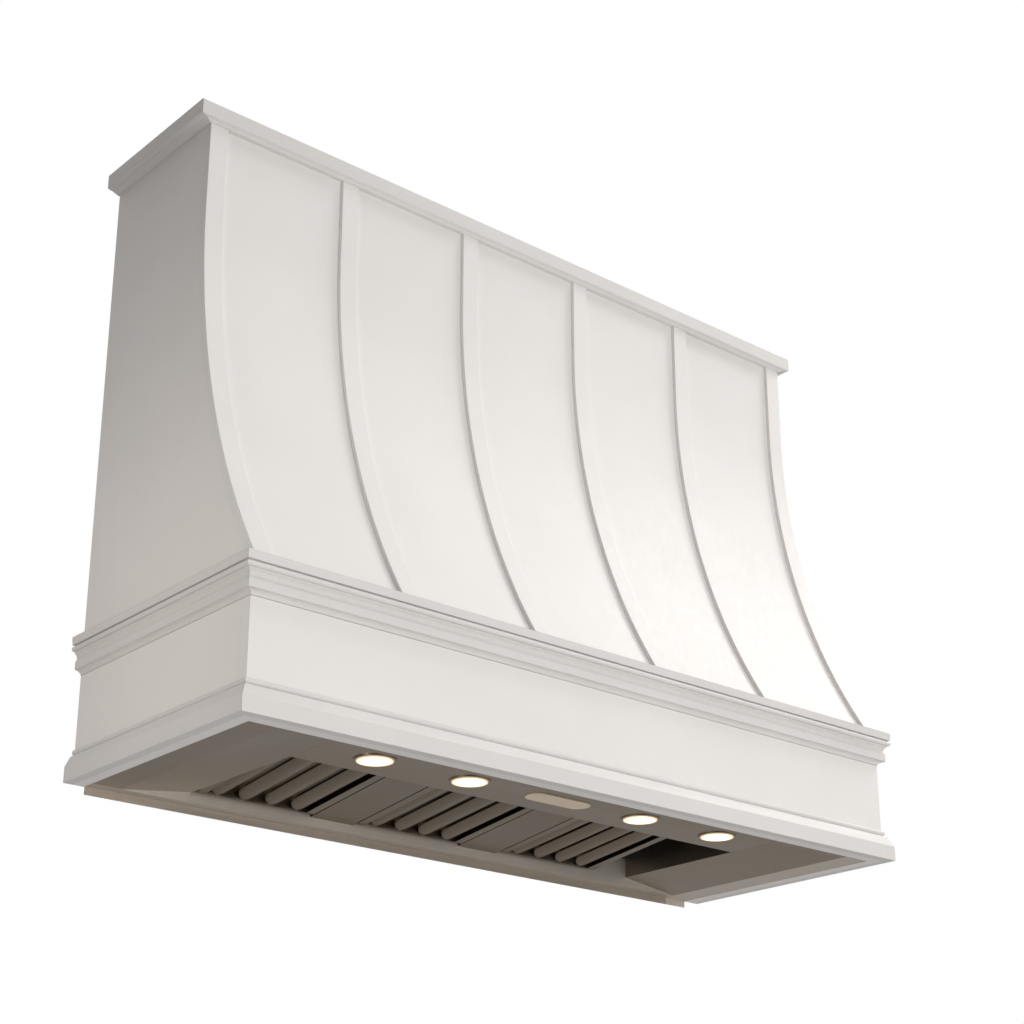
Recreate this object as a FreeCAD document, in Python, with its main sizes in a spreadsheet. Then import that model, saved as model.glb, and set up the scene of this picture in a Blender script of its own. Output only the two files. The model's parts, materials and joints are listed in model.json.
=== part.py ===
"""Wooden range hood cover with its stainless insert, as a parametric document.

Frame, in millimetres: X to the right, the front towards -Y, the wall at Y = 0,
Z up, with Z = 0 at the underside of the wooden base moulding.
"""
import FreeCAD, Part
import math
import os
import types

import Sketcher

doc = FreeCAD.newDocument("RangeHoodCover")

# --------------------------------------------------------------------------
# Driving dimensions
# --------------------------------------------------------------------------
DRIVING = {
    # wooden cover as a whole
    "cover_width": 1219,
    "cover_height": 970,
    "apron_depth": 430,       # wall to the front of the apron board
    "top_depth": 256,         # wall to the face of the skin at the top
    "curve_start": 808,       # height at which the face leaves the vertical
    "mantel_top": 212,        # height at which the curved face ends
    "board_thick": 18,
    "skin_thick": 6,
    "strap_wide": 30,
    "strap_thick": 6,
    "rib_deep": 55,
    "rail_deep": 70,
    # crown moulding
    "crown_over": 9,          # overhang beyond the straps at the front
    "crown_side_over": 21.5,  # overhang beyond the side panels
    "crown_fascia": 24,
    "crown_bevel": 4,
    "crown_toe": 1.5,
    "crown_ease": 2,          # eased lower edge of the fascia
    "bead_fullness": 0.52,    # radius of a bead over its height
    "mitre_margin": 1,        # how far a square cut runs past the wood
    "mitre_run": 1.1,         # length of a mitre cut over the overhang it cuts
    # mantel moulding
    "mantel_over": 18,
    "mantel_taper": 1,
    "mantel_fascia": 12,
    "mantel_quirk": 2,
    "quirk_over": 12.5,
    "mantel_bead": 7,
    "bead_over": 15,
    "mantel_cove": 9,
    "cove_over": 8.5,
    "mantel_band": 13,
    "band_over": 10.5,
    "mantel_foot": 7,
    # base moulding
    "base_over": 14,
    "base_face": 23,
    "base_slope": 16,
    "base_slope_over": 6,
    "base_quirk": 2,
    "base_quirk_over": 1.5,
    "base_bead": 8,
    "base_bead_over": 1,
    # rails that the wall screws go through
    "top_rail_tall": 100,
    "low_rail_tall": 80,
    "low_rail_height": 262,
    "wall_screw_span": 812.8,
    "wall_screw_hole": 7,
    "duct_hole": 210,
    "duct_front": 116,        # back of the skin to the axis of the duct
    "cable_hole": 32,
    # stainless insert
    "sheet_thick": 1.2,
    "insert_gap": 1,          # between the insert and the wood round it
    "flange_recess": 1,       # insert flange above the underside of the wood
    "side_flange": 45.5,
    "front_flange": 12,
    "back_flange": 20,
    "panel_level": 16,        # underside of the lamp panel
    "back_lip": 11,           # how far the back lip hangs below the wood
    "panel_seat": 9,
    "well_top": 82,
    "trough_top": 48,
    "panel_gap": 11,          # filters' length to the fold behind the lamp panel
    "fold_wide": 10,
    "fold_rise": 14,
    "ledge_deep": 27,
    "panel_play": 0.2,
    "plenum_top": 250,
    "plenum_step_top": 186,
    "plenum_step_deep": 325,
    "plenum_front_in": 0.6,
    "plenum_side_in": 42.3,
    "plenum_back_in": 1.8,
    "cleat_tall": 40,
    "cleat_long": 350,
    "cleat_back": 30,
    "cleat_play": 0.3,
    # lamps and control
    "lamp_side": 97,          # side of the well to the axis of the outer lamps
    "lamp_back": 61,          # fold behind the lamp panel to the axes of the lamps
    "lamp_body": 40,          # square body above the panel
    "lamp_bezel": 60,
    "lamp_bezel_thick": 1.4,
    "lamp_tall": 22,
    "lamp_play": 0.3,
    "lens_wide": 52,
    "lens_thick": 0.9,
    "control_wide": 115,
    "control_deep": 38,
    "control_round": 18.5,
    "control_thick": 1.5,
    "control_box_tall": 25,
    # baffle filters
    "filter_width": 203,
    "filter_long": 220,
    "filter_thick": 24,
    "filter_tilt": 7.1,
    "filter_sheet": 1,
    "filter_end_lip": 8,
    "filter_side_lip": 14,
    "blank_width": 82,        # from one filter to the next
    "well_play": 2.5,         # side of the well to the nearest piece of the filter row
    "blank_play": 0.3,
    "pin_back": 36,           # wall to the hinge pins
    "pin_level": 28,
    "pin_inset": 6,
    "pin_wide": 4,
    "pin_play": 0.2,
    "pin_reach": 2.2,
    "bracket_thick": 1.5,
    "bracket_gap": 0.5,
    "bracket_nose": 6,
    "baffle_pitch": 46,
    "baffle_wide": 32,
    "baffle_rise": 9,
    "baffle_corner": 14,
    "channel_flat": 14,
    "magnet_wide": 10,
    "magnet_thick": 3,
    "magnet_gap": 0.2,
    "magnet_inset": 10,
    "magnet_span": 120,
    # duct collar and damper
    "collar_wide": 203.2,
    "collar_tall": 60,
    "collar_flange": 16,
    "stop_wide": 20,
    "damper_level": 20,
    "damper_play": 2.4,
    "damper_stop": 5.4,
    "damper_rest": 0.3,
    "flap_thick": 1,
    "flap_hinge_gap": 5,
    "rod_wide": 4,
    "rod_short": 0.2,
    "rod_hole_play": 0.2,
    "knuckle_wide": 8,
    "knuckle_play": 0.3,
    "knuckle_long": 30,
    "knuckle_side": 45,
    # blower
    "scroll_start": 62,
    "scroll_step": 9,
    "scroll_level": 155,
    "scroll_wide": 130,
    "impeller_wide": 110,
    "impeller_long": 90,
    "impeller_inlet": 92,
    "impeller_plate": 2,
    "blade_in": 46,
    "blade_out": 53,
    "blade_sweep": 7,
    "blade_thick": 1,
    "hub_wide": 30,
    "hub_long": 25,
    "shaft_wide": 8,
    "shaft_play": 0.3,
    "shaft_hole": 12,
    "shaft_in_motor": 20,
    "motor_wide": 80,
    "motor_long": 60,
    "motor_flange": 90,
    "motor_flange_thick": 3,
    "motor_bore_long": 22,
    # junction box
    "junction_across": 300,
    "junction_wide": 90,
    "junction_deep": 60,
    "junction_tall": 40,
    "junction_back": 50,
    "gland_wide": 22,
    "gland_tall": 14,
    "gland_bore": 9,
}

STRAPS = 6
FILTERS = 3
LOWER_BAFFLES = 4
UPPER_BAFFLES = 3
BLADES = 18
MOTOR_SIDES = 8
HUB_SIDES = 8
KNUCKLE_SIDES = 8
GLAND_SIDES = 6
FRONT_TO_BACK = "XZ_Plane"
ACROSS = "YZ_Plane"
LEVEL = "XY_Plane"

sheet = doc.addObject("Spreadsheet::Sheet", "Sizes")
for row, (alias, number) in enumerate(DRIVING.items(), start=1):
    sheet.set(f"A{row}", str(number))
    sheet.setAlias(f"A{row}", alias)
doc.recompute()


# --------------------------------------------------------------------------
# Lengths that know both their number and their expression
# --------------------------------------------------------------------------
class Length:
    """A length worked out from the sheet: its number, and the expression for it."""

    def __init__(self, value, text):
        self.value = float(value)
        self.text = text

    def __add__(self, other):
        other = length(other)
        return Length(self.value + other.value, f"({self.text} + {other.text})")

    def __sub__(self, other):
        other = length(other)
        return Length(self.value - other.value, f"({self.text} - {other.text})")

    def __mul__(self, other):
        other = length(other)
        return Length(self.value * other.value, f"({self.text} * {other.text})")

    def __truediv__(self, other):
        other = length(other)
        return Length(self.value / other.value, f"({self.text} / {other.text})")

    def __neg__(self):
        return Length(-self.value, f"(0 - {self.text})")

    def __radd__(self, other):
        return length(other) + self

    def __rsub__(self, other):
        return length(other) - self

    def __rmul__(self, other):
        return length(other) * self


def length(value):
    """A plain number as a Length; a Length as it is."""
    if isinstance(value, Length):
        return value
    return Length(value, f"({value})")


def root(value):
    return Length(math.sqrt(value.value), f"sqrt({value.text})")


def sine(degrees):
    return Length(math.sin(math.radians(degrees.value)), f"sin({degrees.text})")


def cosine(degrees):
    return Length(math.cos(math.radians(degrees.value)), f"cos({degrees.text})")


def tangent(degrees):
    return sine(degrees) / cosine(degrees)


size = types.SimpleNamespace(
    **{alias: Length(number, f"Sizes.{alias}") for alias, number in DRIVING.items()}
)


# --------------------------------------------------------------------------
# Sketches and features
# --------------------------------------------------------------------------
def new_body(label):
    body = doc.addObject("PartDesign::Body", label)
    body.Label = label
    return body


def new_sketch(body, role, offset=0):
    """A sketch on one of the body's own origin planes, moved along its normal."""
    sketch = body.newObject("Sketcher::SketchObject", body.Label + "_sketch")
    plane = [item for item in body.Origin.OriginFeatures if item.Role == role][0]
    sketch.AttachmentSupport = [(plane, "")]
    sketch.MapMode = "FlatFace"
    sketch.setExpression("AttachmentOffset.Base.z", length(offset).text)
    return sketch


def fix(sketch, kind, edge, point, value):
    """One constraint with its size bound to the sheet."""
    places = (edge,) if point is None else (edge, point)
    index = sketch.addConstraint(Sketcher.Constraint(kind, *places, value.value))
    name = f"{kind}_{edge}"
    sketch.renameConstraint(index, name)
    sketch.setExpression(f"Constraints.{name}", value.text)


def arc_between(start, end, radius, turn):
    """The shorter arc from start to end; turn is 1 anticlockwise, -1 clockwise."""
    chord = end - start
    left = FreeCAD.Vector(-chord.y, chord.x, 0).normalize()
    rise = math.sqrt(max(radius ** 2 - (chord.Length / 2) ** 2, 0))
    centre = (start + end) / 2 + left * rise * turn
    first, last = (start, end) if turn > 0 else (end, start)
    circle = Part.Circle(centre, FreeCAD.Vector(0, 0, 1), radius)
    begin = math.atan2(first.y - centre.y, first.x - centre.x)
    finish = math.atan2(last.y - centre.y, last.x - centre.x)
    if finish < begin:
        finish += 2 * math.pi
    return Part.ArcOfCircle(circle, begin, finish)


def outline(sketch, points, arcs=None):
    """A closed outline; arcs maps an edge's number to its (radius, turn)."""
    arcs = arcs or {}
    base = sketch.GeometryCount
    corners = [FreeCAD.Vector(length(x).value, length(y).value, 0) for x, y in points]
    count = len(points)
    starts = []
    ends = []
    for number in range(count):
        start = corners[number]
        end = corners[(number + 1) % count]
        if number in arcs:
            radius, turn = arcs[number]
            sketch.addGeometry(arc_between(start, end, length(radius).value, turn), False)
            starts.append(1 if turn > 0 else 2)
            ends.append(2 if turn > 0 else 1)
        else:
            sketch.addGeometry(Part.LineSegment(start, end), False)
            starts.append(1)
            ends.append(2)
    for number in range(count):
        after = (number + 1) % count
        sketch.addConstraint(Sketcher.Constraint(
            "Coincident", base + number, ends[number], base + after, starts[after]))
    for number, (x, y) in enumerate(points):
        fix(sketch, "DistanceX", base + number, starts[number], length(x))
        fix(sketch, "DistanceY", base + number, starts[number], length(y))
        if number in arcs:
            fix(sketch, "Radius", base + number, None, length(arcs[number][0]))


def ring(sketch, x, y, radius):
    """A circle."""
    edge = sketch.GeometryCount
    x, y, radius = length(x), length(y), length(radius)
    centre = FreeCAD.Vector(x.value, y.value, 0)
    sketch.addGeometry(Part.Circle(centre, FreeCAD.Vector(0, 0, 1), radius.value), False)
    fix(sketch, "DistanceX", edge, 3, x)
    fix(sketch, "DistanceY", edge, 3, y)
    fix(sketch, "Radius", edge, None, radius)


def rectangle(sketch, x0, y0, x1, y1):
    outline(sketch, [(x0, y0), (x1, y0), (x1, y1), (x0, y1)])


def rounded(sketch, x0, y0, x1, y1, radius):
    """A rectangle with quarter-round corners."""
    points = [
        (x0 + radius, y0), (x1 - radius, y0), (x1, y0 + radius), (x1, y1 - radius),
        (x1 - radius, y1), (x0 + radius, y1), (x0, y1 - radius), (x0, y0 + radius),
    ]
    outline(sketch, points, {1: (radius, 1), 3: (radius, 1), 5: (radius, 1), 7: (radius, 1)})


def many_sided(sketch, radius, sides):
    """A regular polygon round the origin, with a side across each of the axes."""
    points = []
    for number in range(sides):
        angle = length((number + 0.5) * 360 / sides)
        points.append((radius * cosine(angle), radius * sine(angle)))
    outline(sketch, points)


def pad(body, sketch, run, both_ways=False):
    feature = body.newObject("PartDesign::Pad", body.Label + "_pad")
    feature.Profile = sketch
    feature.SideType = "Symmetric" if both_ways else "One side"
    feature.setExpression("Length", length(run).text)
    return feature


def pocket(body, sketch, run):
    """A cut that reaches half of run to each side of the sketch."""
    feature = body.newObject("PartDesign::Pocket", body.Label + "_pocket")
    feature.Profile = sketch
    feature.SideType = "Symmetric"
    feature.setExpression("Length", length(run).text)
    return feature


def row_of(body, features, role, run, count):
    """Copies of features in a straight row along one of the body's axes."""
    feature = body.newObject("PartDesign::LinearPattern", body.Label + "_row")
    axis = [item for item in body.Origin.OriginFeatures if item.Role == role][0]
    feature.Originals = features
    feature.Direction = (axis, [""])
    feature.setExpression("Length", length(run).text)
    feature.Occurrences = count
    body.Tip = feature
    return feature


def place(item, x=0, y=0, z=0, tilt=None):
    """Binds the item's place, and its tilt about X in degrees."""
    if tilt is not None:
        item.Placement.Rotation = FreeCAD.Rotation(FreeCAD.Vector(1, 0, 0), 0)
        item.setExpression("Placement.Rotation.Angle", length(tilt).text)
    item.setExpression("Placement.Base.x", length(x).text)
    item.setExpression("Placement.Base.y", length(y).text)
    item.setExpression("Placement.Base.z", length(z).text)


def board(label, wide, deep, tall, x, y, z):
    """A square-cut board from its left, front and lower faces."""
    box = doc.addObject("Part::Box", label)
    box.Label = label
    box.setExpression("Length", length(wide).text)
    box.setExpression("Width", length(deep).text)
    box.setExpression("Height", length(tall).text)
    place(box, x, y, z)
    return box


# --------------------------------------------------------------------------
# Shared lines of the wooden cover
# --------------------------------------------------------------------------
half_width = size.cover_width / 2
inner_half = half_width - size.board_thick
apron_back = size.apron_depth - size.board_thick
drop = size.curve_start - size.mantel_top
flare = size.apron_depth - size.top_depth
curve_radius = (drop * drop + flare * flare) / (2 * flare)
crown_tall = size.crown_fascia + size.crown_bevel
crown_bottom = size.cover_height - crown_tall
strap_depth = size.top_depth + size.strap_thick
strap_pitch = (size.cover_width - size.strap_wide) / (STRAPS - 1)
ceiling = size.cover_height - size.board_thick
gland_depth = size.junction_back + size.junction_deep / 2
duct_centre = size.top_depth - size.skin_thick - size.duct_front
right_through = 2 * size.cover_width


def face_depth(height, inset):
    """Wall to a surface `inset` behind the face, at a height on the curve."""
    rise = size.curve_start - height
    radius = curve_radius + inset
    return size.top_depth + curve_radius - root(radius * radius - rise * rise)


def strap_centre(number):
    return number * strap_pitch + size.strap_wide / 2 - half_width


def curved_strip(label, left, wide, front, back, bottom, top):
    """A strip that follows the curved face between two insets behind it."""
    body = new_body(label)
    sketch = new_sketch(body, ACROSS)
    points = [
        (-(size.top_depth - front), top),
        (-(size.top_depth - front), size.curve_start),
        (-face_depth(bottom, front), bottom),
        (-face_depth(bottom, back), bottom),
        (-(size.top_depth - back), size.curve_start),
        (-(size.top_depth - back), top),
    ]
    outline(sketch, points, {1: (curve_radius + front, -1), 3: (curve_radius + back, 1)})
    pad(body, sketch, wide)
    place(body, x=left)
    return body


# --------------------------------------------------------------------------
# Wooden carcass
# --------------------------------------------------------------------------
def side_panel(label, left):
    """Full-height side with the curve of the face cut along its front edge."""
    body = new_body(label)
    sketch = new_sketch(body, ACROSS)
    inner_top = size.top_depth - size.skin_thick
    points = [
        (0, 0),
        (0, size.cover_height),
        (-inner_top, size.cover_height),
        (-inner_top, size.curve_start),
        (-face_depth(size.mantel_top, size.skin_thick), size.mantel_top),
        (-apron_back, size.mantel_top),
        (-apron_back, 0),
    ]
    outline(sketch, points, {3: (curve_radius + size.skin_thick, -1)})
    pad(body, sketch, size.board_thick)
    place(body, x=left)
    return body


def top_board():
    """Board under the ceiling line, with holes for the duct and the supply cable."""
    body = new_body("top_board")
    sketch = new_sketch(body, LEVEL)
    rectangle(sketch, -inner_half, -(size.top_depth - size.skin_thick), inner_half, 0)
    ring(sketch, 0, -duct_centre, size.duct_hole / 2)
    ring(sketch, -size.junction_across, -gland_depth, size.cable_hole / 2)
    pad(body, sketch, size.board_thick)
    place(body, z=ceiling)
    return body


def back_rail(label, bottom, tall):
    """Rail against the wall, with a hole for a wall screw at each end."""
    body = new_body(label)
    sketch = new_sketch(body, FRONT_TO_BACK)
    rectangle(sketch, -inner_half, 0, inner_half, tall)
    for side in (-1, 1):
        ring(sketch, side * size.wall_screw_span / 2, tall / 2, size.wall_screw_hole / 2)
    pad(body, sketch, size.board_thick)
    place(body, z=bottom)
    return body


def carcass():
    pieces = [
        side_panel("left_side_panel", -half_width),
        side_panel("right_side_panel", inner_half),
        top_board(),
        back_rail("hanging_rail", ceiling - size.top_rail_tall, size.top_rail_tall),
        back_rail("lower_back_rail", size.low_rail_height, size.low_rail_tall),
        board("apron_front", size.cover_width, size.board_thick, size.mantel_top,
              -half_width, -size.apron_depth, 0),
        board("apron_rail", 2 * inner_half, size.rail_deep, size.board_thick,
              -inner_half, -apron_back, size.mantel_top - size.board_thick),
    ]
    for number in range(1, STRAPS - 1):
        pieces.append(curved_strip(
            f"front_rib_{number}", strap_centre(number) - size.board_thick / 2,
            size.board_thick, size.skin_thick, size.skin_thick + size.rib_deep,
            size.mantel_top, ceiling))
    return pieces


def face():
    """The bent skin and the straps that cover its screw lines."""
    pieces = [curved_strip("front_skin", -half_width, size.cover_width, length(0),
                           size.skin_thick, size.mantel_top, size.cover_height)]
    for number in range(STRAPS):
        pieces.append(curved_strip(
            f"strap_{number + 1}", strap_centre(number) - size.strap_wide / 2,
            size.strap_wide, -size.strap_thick, length(0), size.mantel_top, crown_bottom))
    return pieces


# --------------------------------------------------------------------------
# Mouldings, mitred at the front corners
# --------------------------------------------------------------------------
def crown_profile(back, spread):
    """Plain fascia over a bevel; spread is 1 at the front, more for a deeper side."""
    over = size.crown_over * spread
    ease = over - size.crown_ease * spread
    bend = (size.crown_toe + size.crown_bevel) * spread
    points = [
        (back, 0), (size.crown_toe * spread, 0), (bend, size.crown_bevel),
        (ease, size.crown_bevel), (over, size.crown_bevel + size.crown_ease),
        (over, crown_tall), (back, crown_tall),
    ]
    return points, {}


def mantel_profile():
    """From below: foot, flat band, cove, round bead, fascia with a flat top."""
    foot = size.mantel_foot
    band = foot + size.mantel_band
    cove = band + size.mantel_quirk
    cove_top = cove + size.mantel_cove
    bead = cove_top + size.mantel_quirk
    bead_top = bead + size.mantel_bead
    fascia = bead_top + size.mantel_quirk
    top = fascia + size.mantel_fascia
    points = [
        (0, 0), (size.band_over, foot), (size.band_over, band), (size.cove_over, band),
        (size.cove_over, cove), (size.quirk_over, cove_top), (size.quirk_over, bead),
        (size.bead_over, bead), (size.bead_over, bead_top), (size.quirk_over, bead_top),
        (size.quirk_over, fascia), (size.mantel_over - size.mantel_taper, fascia),
        (size.mantel_over, top), (0, top),
    ]
    arcs = {
        0: (size.band_over, -1),
        4: (size.mantel_cove, -1),
        7: (size.mantel_bead * size.bead_fullness, 1),
    }
    return points, arcs


def base_profile():
    """From below: flat fascia, slope, quirk and a small bead against the apron."""
    slope_top = size.base_face + size.base_slope
    bead = slope_top + size.base_quirk
    points = [
        (0, 0), (size.base_over, 0), (size.base_over, size.base_face),
        (size.base_slope_over, slope_top), (size.base_quirk_over, slope_top),
        (size.base_quirk_over, bead), (size.base_bead_over, bead + size.base_bead),
        (0, bead + size.base_bead),
    ]
    return points, {5: (size.base_bead * size.bead_fullness, 1)}


def front_moulding(label, profile, depth, behind, reach, side_reach, bottom):
    """A length along the front, cut on the mitre at both corners."""
    points, arcs = profile
    body = new_body(label)
    sketch = new_sketch(body, ACROSS)
    flipped = {edge: (radius, -turn) for edge, (radius, turn) in arcs.items()}
    outline(sketch, [(-(depth + offset), height) for offset, height in points], flipped)
    pad(body, sketch, size.cover_width + 2 * side_reach, both_ways=True)
    cut = new_sketch(body, LEVEL)
    past = size.mitre_run * side_reach
    for side in (-1, 1):
        outline(cut, [
            (side * half_width, size.mitre_margin - (depth - behind)),
            (side * half_width, -depth),
            (side * (half_width + past), -(depth + size.mitre_run * reach)),
            (side * (half_width + past), size.mitre_margin - (depth - behind)),
        ])
    pocket(body, cut, right_through)
    place(body, z=bottom)
    return body


def return_moulding(label, side, profile, depth, reach, side_reach, bottom):
    """A length along one side, from the wall to the mitre at the front corner."""
    points, arcs = profile
    body = new_body(label)
    sketch = new_sketch(body, FRONT_TO_BACK)
    turned_arcs = {edge: (radius, side * turn) for edge, (radius, turn) in arcs.items()}
    outline(sketch, [(side * (half_width + length(offset)), height)
                     for offset, height in points], turned_arcs)
    pad(body, sketch, depth + reach)
    cut = new_sketch(body, LEVEL)
    past = size.mitre_run * reach
    outline(cut, [
        (side * (half_width - size.mitre_margin), -depth),
        (side * half_width, -depth),
        (side * (half_width + size.mitre_run * side_reach), -(depth + past)),
        (side * (half_width - size.mitre_margin), -(depth + past)),
    ])
    pocket(body, cut, right_through)
    place(body, z=bottom)
    return body


def mouldings():
    mantel_tall = mantel_profile()[0][-1][1]
    side_crown = crown_profile(length(0), size.crown_side_over / size.crown_over)
    pieces = [
        front_moulding("crown_front", crown_profile(-size.strap_thick, length(1)),
                       strap_depth, size.strap_thick, size.crown_over,
                       size.crown_side_over, crown_bottom),
        front_moulding("mantel_front", mantel_profile(), size.apron_depth, length(0),
                       size.mantel_over, size.mantel_over, size.mantel_top - mantel_tall),
        front_moulding("base_front", base_profile(), size.apron_depth, length(0),
                       size.base_over, size.base_over, 0),
    ]
    for name, side in (("left", -1), ("right", 1)):
        pieces.append(return_moulding(f"crown_{name}", side, side_crown, strap_depth,
                                      size.crown_over, size.crown_side_over, crown_bottom))
        pieces.append(return_moulding(f"mantel_{name}", side, mantel_profile(),
                                      size.apron_depth, size.mantel_over,
                                      size.mantel_over, size.mantel_top - mantel_tall))
        pieces.append(return_moulding(f"base_{name}", side, base_profile(),
                                      size.apron_depth, size.base_over,
                                      size.base_over, 0))
    return pieces


# --------------------------------------------------------------------------
# Stainless insert: liner, lamp panel and plenum
# --------------------------------------------------------------------------
sheet_thick = size.sheet_thick
flange_low = size.flange_recess
flange_top = flange_low + sheet_thick
flange_half = inner_half - size.insert_gap
flange_front = apron_back - size.insert_gap
slope_foot = flange_half - size.side_flange
filter_pitch = size.filter_width + size.blank_width
well_half = FILTERS * filter_pitch / 2 + size.well_play
riser_depth = flange_front - size.front_flange
panel_top = size.panel_level + sheet_thick
panel_end = size.pin_back + size.filter_long + size.panel_gap
lip_depth = panel_end - size.fold_wide
lamp_depth = panel_end + size.lamp_back
plenum_front = flange_front - size.plenum_front_in
plenum_half = flange_half - size.plenum_side_in
cleat_face = plenum_half + size.cleat_play


def filter_plane(depth, across):
    """Height, at a depth from the wall, of a line parallel to the tilted filters."""
    return (size.pin_level + (depth - size.pin_back) * tangent(size.filter_tilt)
            + across / cosine(size.filter_tilt))


def liner_frame():
    """Flange, sloping sides, front riser with its seat, trough wall and back lip."""
    body = new_body("liner_frame")
    flange = new_sketch(body, LEVEL, flange_low)
    rectangle(flange, -flange_half, -flange_front, flange_half, 0)
    rectangle(flange, -slope_foot, -riser_depth, slope_foot, -size.back_flange)
    pad(body, flange, sheet_thick)

    sides = new_sketch(body, FRONT_TO_BACK, size.back_flange)
    for side in (-1, 1):
        outline(sides, [
            (side * slope_foot, flange_low),
            (side * well_half, size.panel_level),
            (side * well_half, size.well_top),
            (side * (well_half + sheet_thick), size.well_top),
            (side * (well_half + sheet_thick), panel_top),
            (side * slope_foot, flange_top),
        ])
    pad(body, sides, riser_depth - size.back_flange)

    riser = new_sketch(body, ACROSS)
    outline(riser, [
        (-riser_depth, flange_low),
        (-riser_depth, size.panel_level),
        (-(riser_depth + size.panel_seat), size.panel_level),
        (-(riser_depth + size.panel_seat), size.panel_level - sheet_thick),
        (-(riser_depth + sheet_thick), size.panel_level - sheet_thick),
        (-(riser_depth + sheet_thick), flange_low),
    ])
    pad(body, riser, 2 * slope_foot, both_ways=True)

    trough = new_sketch(body, ACROSS)
    rectangle(trough, -size.back_flange, flange_low,
              -(size.back_flange - sheet_thick), size.trough_top)
    pad(body, trough, 2 * slope_foot, both_ways=True)

    lip = new_sketch(body, ACROSS)
    rectangle(lip, -sheet_thick, -size.back_lip, 0, flange_top)
    pad(body, lip, 2 * flange_half, both_ways=True)
    return body


def lamp_panel():
    """Flat panel for the lamps, folded up at the back into a lip and a ledge."""
    body = new_body("lamp_panel")
    ledge = size.filter_thick / 2 + size.magnet_gap + size.magnet_thick
    ledge_end = lip_depth - size.ledge_deep
    front = riser_depth + size.panel_seat
    fold_top = size.panel_level + size.fold_rise
    section = new_sketch(body, ACROSS)
    outline(section, [
        (-front, size.panel_level),
        (-panel_end, size.panel_level),
        (-lip_depth, fold_top),
        (-lip_depth, filter_plane(lip_depth, ledge)),
        (-ledge_end, filter_plane(ledge_end, ledge)),
        (-ledge_end, filter_plane(ledge_end, ledge) + sheet_thick),
        (-(lip_depth + sheet_thick), filter_plane(lip_depth, ledge) + sheet_thick),
        (-(lip_depth + sheet_thick), fold_top + sheet_thick / 2),
        (-(panel_end + sheet_thick / 2), panel_top),
        (-front, panel_top),
    ])
    pad(body, section, 2 * (well_half - size.panel_play), both_ways=True)
    holes = new_sketch(body, LEVEL, size.panel_level)
    squares_at_lamps(holes, -lamp_depth, size.lamp_body / 2 + size.lamp_play)
    pocket(body, holes, 4 * sheet_thick)
    return body


def plenum_box():
    """Folded box over the filters, open below, stepped to pass under the apron rail."""
    body = new_body("plenum_box")
    back = size.plenum_back_in
    outer = new_sketch(body, ACROSS)
    outline(outer, [
        (-back, flange_top),
        (-back, size.plenum_top),
        (-size.plenum_step_deep, size.plenum_top),
        (-size.plenum_step_deep, size.plenum_step_top),
        (-plenum_front, size.plenum_step_top),
        (-plenum_front, flange_top),
    ])
    pad(body, outer, 2 * plenum_half, both_ways=True)
    inner = new_sketch(body, ACROSS)
    outline(inner, [
        (-(back + sheet_thick), 0),
        (-(back + sheet_thick), size.plenum_top - sheet_thick),
        (-(size.plenum_step_deep - sheet_thick), size.plenum_top - sheet_thick),
        (-(size.plenum_step_deep - sheet_thick), size.plenum_step_top - sheet_thick),
        (-(plenum_front - sheet_thick), size.plenum_step_top - sheet_thick),
        (-(plenum_front - sheet_thick), 0),
    ])
    pocket(body, inner, 2 * (plenum_half - sheet_thick))
    outlet = new_sketch(body, LEVEL, size.plenum_top)
    rectangle(outlet, sheet_thick - size.scroll_wide / 2,
              sheet_thick - duct_centre - outlet_deep / 2,
              size.scroll_wide / 2 - sheet_thick,
              outlet_deep / 2 - duct_centre - sheet_thick)
    pocket(body, outlet, 4 * sheet_thick)
    return body


def cleat(label, left):
    """Wooden strip on the side panel that the insert is screwed to."""
    return board(label, inner_half - cleat_face, size.cleat_long, size.cleat_tall,
                 left, -(size.cleat_back + size.cleat_long), flange_top)


# --------------------------------------------------------------------------
# Lamps and control
# --------------------------------------------------------------------------
def lamp_places():
    outer = well_half - size.lamp_side
    return (-outer, -outer / 2, outer / 2, outer)


def squares_at_lamps(sketch, depth, half):
    for across in lamp_places():
        rectangle(sketch, across - half, depth - half, across + half, depth + half)


def rings_at_lamps(sketch, radius):
    for across in lamp_places():
        ring(sketch, across, 0, radius)


def lamp_housings():
    """Square lamp bodies let into the panel, each with a round bezel under it."""
    body = new_body("lamp_housings")
    bezels = new_sketch(body, LEVEL, -size.lamp_bezel_thick)
    rings_at_lamps(bezels, size.lamp_bezel / 2)
    pad(body, bezels, size.lamp_bezel_thick)
    bodies = new_sketch(body, LEVEL)
    squares_at_lamps(bodies, length(0), size.lamp_body / 2)
    pad(body, bodies, size.lamp_tall)
    place(body, y=-lamp_depth, z=size.panel_level)
    return body


def lamp_lenses():
    """Frosted lens discs under the bezels."""
    body = new_body("lamp_lenses")
    lenses = new_sketch(body, LEVEL, -(size.lamp_bezel_thick + size.lens_thick))
    rings_at_lamps(lenses, size.lens_wide / 2)
    pad(body, lenses, size.lens_thick)
    place(body, y=-lamp_depth, z=size.panel_level)
    return body


def control_plate():
    """Bare touch strip under the panel."""
    body = new_body("control_plate")
    plate = new_sketch(body, LEVEL, -size.control_thick)
    rounded(plate, -size.control_wide / 2, -size.control_deep / 2,
            size.control_wide / 2, size.control_deep / 2, size.control_round)
    pad(body, plate, size.control_thick)
    place(body, y=-lamp_depth, z=size.panel_level)
    return body


def lamps_and_control():
    return [
        lamp_housings(),
        lamp_lenses(),
        control_plate(),
        board("control_box", size.control_wide, size.control_deep,
              size.control_box_tall, -size.control_wide / 2,
              -(lamp_depth + size.control_deep / 2), panel_top),
    ]


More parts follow.
